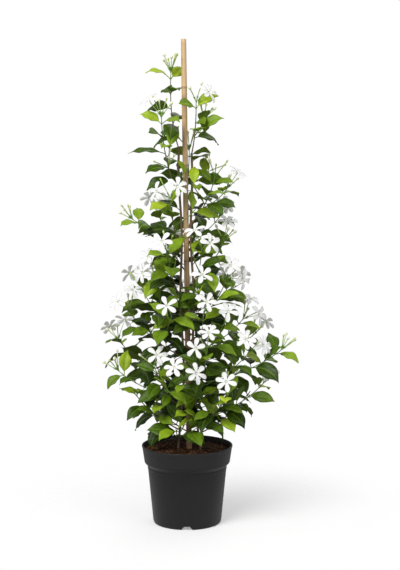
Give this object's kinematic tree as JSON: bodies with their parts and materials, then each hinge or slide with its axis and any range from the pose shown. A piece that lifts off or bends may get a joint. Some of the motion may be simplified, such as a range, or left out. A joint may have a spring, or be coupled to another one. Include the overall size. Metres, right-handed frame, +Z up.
{
  "type": "potted arabian jasmine",
  "caption": "Flowering arabian jasmine with white blooms, trained up one bamboo cane in a dark round nursery pot.",
  "frame": {"origin": "on the surface that the pot stands on, under the middle of the whole plant's breadth and depth; the pot's axis is 17 mm to the left of it and 24 mm in front of it", "axes": "+Z up along the cane, -Y towards the front that the picture shows, +X to the right"},
  "size_m": [0.3742, 0.318, 0.8971],
  "materials": {
    "pot_plastic": "satin",
    "soil": "matte",
    "bamboo": "satin",
    "tie_wire": "satin",
    "bark": "matte",
    "leaf": "satin",
    "petal": "matte"
  },
  "bodies": {
    "root": {"pot": "pot_plastic", "potting_soil": "soil", "bamboo_cane": "bamboo", "lower_tie": "tie_wire", "upper_tie": "tie_wire", "branch_back_high": "leaf", "branch_back_low": "leaf", "branch_back_middle": "leaf", "branch_back_top": "leaf", "branch_back_wide": "leaf", "branch_base_back": "leaf", "branch_base_front": "leaf", "branch_base_left": "leaf", "branch_base_right": "leaf", "branch_front_left": "leaf", "branch_front_right": "leaf", "branch_high_left": "leaf", "branch_high_right": "leaf", "branch_inner_right": "leaf", "branch_low_right": "leaf", "branch_middle_left": "leaf", "branch_middle_right": "leaf", "branch_top_left": "leaf", "branch_upper_left": "leaf", "branch_upper_right": "leaf", "branch_wide_left": "leaf", "branch_wide_right": "leaf", "flowers_back_high_a": "petal", "flowers_back_high_b": "petal", "flowers_back_high_c": "petal", "flowers_back_middle_a": "petal", "flowers_back_middle_b": "petal", "flowers_back_middle_c": "petal", "flowers_back_wide_a": "petal", "flowers_back_wide_b": "petal", "flowers_back_wide_c": "petal", "flowers_front_left_a": "petal", "flowers_front_left_c": "petal", "flowers_front_right_a": "petal", "flowers_front_right_b": "petal", "flowers_high_left_a": "petal", "flowers_high_right_b": "petal", "flowers_inner_right_a": "petal", "flowers_inner_right_b": "petal", "flowers_low_right_a": "petal", "flowers_low_right_b": "petal", "flowers_middle_left_a": "petal", "flowers_middle_left_b": "petal", "flowers_middle_right_a": "petal", "flowers_middle_right_b": "petal", "flowers_upper_left_a": "petal", "flowers_upper_right_a": "petal", "flowers_wide_left_a": "petal", "flowers_wide_left_b": "petal", "flowers_wide_right_a": "petal", "flowers_wide_right_b": "petal", "flowers_wide_right_c": "petal", "stem_back": "bark", "stem_left": "bark", "stem_right": "bark"}
  },
  "joints": []
}
